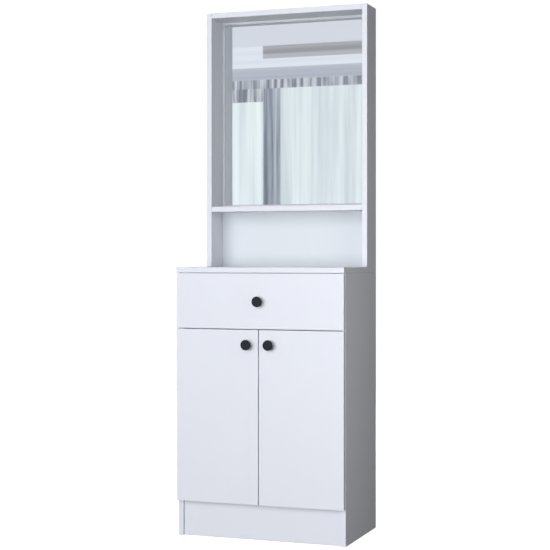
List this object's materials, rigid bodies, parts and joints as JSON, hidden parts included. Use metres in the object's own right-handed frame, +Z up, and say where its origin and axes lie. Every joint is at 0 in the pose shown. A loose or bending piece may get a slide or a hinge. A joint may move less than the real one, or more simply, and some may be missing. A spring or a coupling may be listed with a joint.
{
  "type": "salon styling station",
  "caption": "Tall narrow styling station: base cabinet with a drawer over two knobbed doors on a recessed plinth, and a shallow mirrored hutch with a shelf.",
  "frame": {"origin": "on the floor, below the middle of the whole object's box, knobs included", "axes": "+Z up, +X to the right as seen from the front, -Y towards the person in front of the station"},
  "size_m": [0.59, 0.3926, 1.8],
  "materials": {
    "white_board": "white melamine, satin, fine pebble texture",
    "hardboard": "thin hardboard with a white lacquered face",
    "mirror": "silvered float glass",
    "knob_black": "matte black powder coat",
    "zinc_steel": "zinc-plated sheet steel",
    "nickel": "nickel-plated steel",
    "beech": "fluted beech dowel",
    "clear_bumper": "soft clear bumper",
    "foam_tape": "double-sided foam tape"
  },
  "bodies": {
    "cabinet": {"base_side_left": "white_board", "base_side_right": "white_board", "base_top": "white_board", "base_bottom": "white_board", "drawer_divider": "white_board", "plinth": "white_board", "cupboard_shelf": "white_board", "hutch_side_left": "white_board", "hutch_side_right": "white_board", "hutch_top": "white_board", "hutch_shelf": "white_board", "hutch_back": "white_board", "base_back": "hardboard", "mirror": "mirror", "runner_outer_left": "zinc_steel", "runner_outer_right": "zinc_steel", "shelf_pin_left_front": "nickel", "shelf_pin_left_back": "nickel", "shelf_pin_right_front": "nickel", "shelf_pin_right_back": "nickel", "hinge_arm_left_lower": "nickel", "hinge_arm_left_upper": "nickel", "hinge_arm_right_lower": "nickel", "hinge_arm_right_upper": "nickel", "hinge_plate_left_lower": "nickel", "hinge_plate_left_upper": "nickel", "hinge_plate_right_lower": "nickel", "hinge_plate_right_upper": "nickel", "hutch_dowel_left_front": "beech", "hutch_dowel_left_back": "beech", "hutch_dowel_right_front": "beech", "hutch_dowel_right_back": "beech", "mirror_tape_left": "foam_tape", "mirror_tape_right": "foam_tape"},
    "drawer": {"drawer_front": "white_board", "drawer_side_left": "white_board", "drawer_side_right": "white_board", "drawer_back": "white_board", "drawer_bottom": "hardboard", "drawer_knob": "knob_black", "drawer_knob_screw": "zinc_steel", "runner_inner_left": "zinc_steel", "runner_inner_right": "zinc_steel"},
    "runner_members": {"runner_middle_left": "zinc_steel", "runner_middle_right": "zinc_steel"},
    "door_left": {"door_left": "white_board", "door_knob_left": "knob_black", "door_knob_screw_left": "zinc_steel", "door_bumper_left": "clear_bumper", "hinge_cup_left_lower": "nickel", "hinge_cup_left_upper": "nickel"},
    "door_right": {"door_right": "white_board", "door_knob_right": "knob_black", "door_knob_screw_right": "zinc_steel", "door_bumper_right": "clear_bumper", "hinge_cup_right_lower": "nickel", "hinge_cup_right_upper": "nickel"}
  },
  "joints": [
    {"name": "drawer_slide", "type": "slide", "parent": "cabinet", "child": "drawer", "axis": [0, -1, 0], "range_m": [0, 0.28]},
    {"name": "runner_members_slide", "type": "slide", "parent": "cabinet", "child": "runner_members", "axis": [0, -1, 0], "range_m": [0, 0.14]},
    {"name": "door_left_hinge", "type": "hinge", "parent": "cabinet", "child": "door_left", "pos_m": [-0.2872, -0.16975, 0.4095], "axis": [0, 0, -1], "range_deg": [0, 95]},
    {"name": "door_right_hinge", "type": "hinge", "parent": "cabinet", "child": "door_right", "pos_m": [0.2872, -0.16975, 0.4095], "axis": [0, 0, 1], "range_deg": [0, 95]}
  ],
  "couplings": [
    {"joint": "runner_members_slide", "follows": "drawer_slide", "ratio": 0.5}
  ]
}
